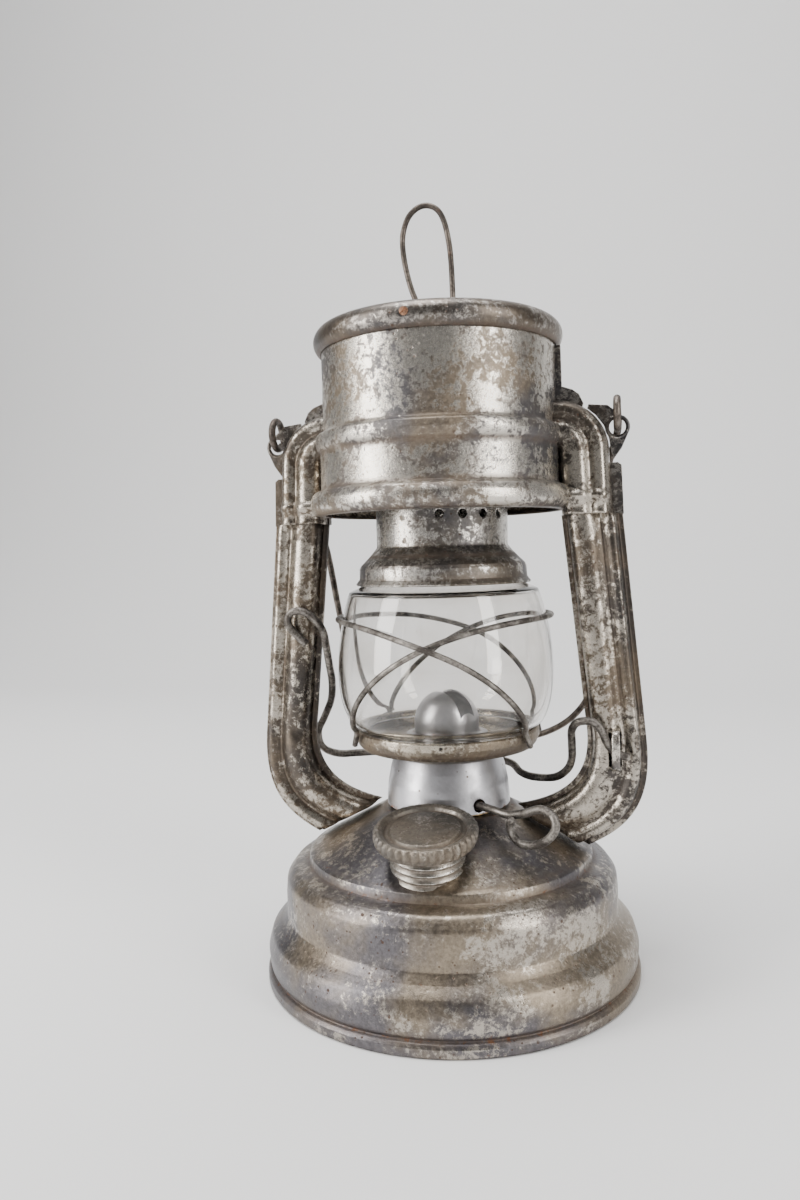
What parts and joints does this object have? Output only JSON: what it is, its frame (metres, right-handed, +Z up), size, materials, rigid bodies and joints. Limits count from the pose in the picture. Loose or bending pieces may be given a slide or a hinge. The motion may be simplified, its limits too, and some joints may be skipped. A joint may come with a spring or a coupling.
{
  "type": "storm lantern",
  "caption": "Small tubular storm lantern: low round fount, two side tubes, glass globe in wire guards, drum-shaped storm hood, wire bail and lifting lever.",
  "frame": {"origin": "centre of the fount's foot, on the surface it stands on", "axes": "+Z up, +X towards the side tube that carries the lever's pivot, -Y towards the filler plug"},
  "size_m": [0.1154, 0.11, 0.2244],
  "materials": {
    "tinned_steel": "tinned sheet steel, mottled grey and beige, with brown rust in the creases",
    "dull_tinned_steel": "tinned sheet steel worn darker, with rust",
    "steel_wire": "dark oxidised steel wire",
    "grey_zinc": "dull grey zinc-plated steel",
    "aluminium": "smooth spun aluminium with fine stains",
    "brass": "dull brass",
    "seal_rubber": "black rubber",
    "wick_cotton": "woven cotton",
    "globe_glass": "clear glass with a faint smoky tint"
  },
  "bodies": {
    "lantern": {"fount_shell": "tinned_steel", "fount_bottom": "tinned_steel", "burner_base": "brass", "burner_cone": "aluminium", "wick_tube": "brass", "left_tube_front": "tinned_steel", "left_tube_rear": "tinned_steel", "right_tube_front": "tinned_steel", "right_tube_rear": "tinned_steel", "hood_front": "tinned_steel", "hood_rear": "tinned_steel", "hood_ring": "dull_tinned_steel", "hood_floor": "dull_tinned_steel", "hood_bridge": "dull_tinned_steel", "hood_screw": "brass", "left_ear": "dull_tinned_steel", "right_ear": "dull_tinned_steel"},
    "seal": {"filler_seal": "seal_rubber"},
    "plug": {"filler_plug": "grey_zinc"},
    "winder": {"wick_winder": "steel_wire", "feed_wheel": "brass"},
    "wick": {"wick": "wick_cotton"},
    "lever": {"lift_lever": "steel_wire"},
    "carrier": {"globe_plate": "dull_tinned_steel", "globe": "globe_glass", "flame_dome": "aluminium", "guard_wire_a": "steel_wire", "guard_wire_b": "steel_wire"},
    "chimney": {"chimney": "tinned_steel", "chimney_canopy": "dull_tinned_steel", "lift_ring": "steel_wire"},
    "bail": {"bail": "steel_wire"}
  },
  "joints": [
    {"name": "seal_rise", "type": "slide", "parent": "lantern", "child": "seal", "axis": [0, -0.1908, 0.9816], "range_m": [0, 0.006]},
    {"name": "plug_turn", "type": "hinge", "parent": "seal", "child": "plug", "pos_m": [0.0004, -0.0334, 0.0509], "axis": [0, -0.1908, 0.9816], "range_deg": [0, 1080]},
    {"name": "winder_turn", "type": "hinge", "parent": "lantern", "child": "winder", "pos_m": [-0.00253, -0.00348, 0.0513], "axis": [0.809, -0.5878, 0], "range_deg": [-80, 110]},
    {"name": "wick_slide", "type": "slide", "parent": "lantern", "child": "wick", "axis": [0, 0, 1], "range_m": [-0.00293, 0.00403]},
    {"name": "lever_turn", "type": "hinge", "parent": "lantern", "child": "lever", "pos_m": [0.0496, -0.004, 0.066], "axis": [0, 1, 0], "range_deg": [0, 4.8]},
    {"name": "carrier_lift", "type": "slide", "parent": "lantern", "child": "carrier", "axis": [0, 0, 1], "range_m": [0, 0.0042]},
    {"name": "chimney_lift", "type": "slide", "parent": "carrier", "child": "chimney", "axis": [0, 0, 1], "range_m": [0, 0.0095]},
    {"name": "bail_swing", "type": "hinge", "parent": "lantern", "child": "bail", "pos_m": [0, 0, 0.1601], "axis": [1, 0, 0], "range_deg": [-8, 265]}
  ],
  "couplings": [
    {"joint": "seal_rise", "follows": "plug_turn", "m_per_rad": 0.00031831},
    {"joint": "winder_turn", "follows": "wick_slide", "rad_per_m": 476.19},
    {"joint": "carrier_lift", "follows": "lever_turn", "m_per_rad": 0.05}
  ]
}
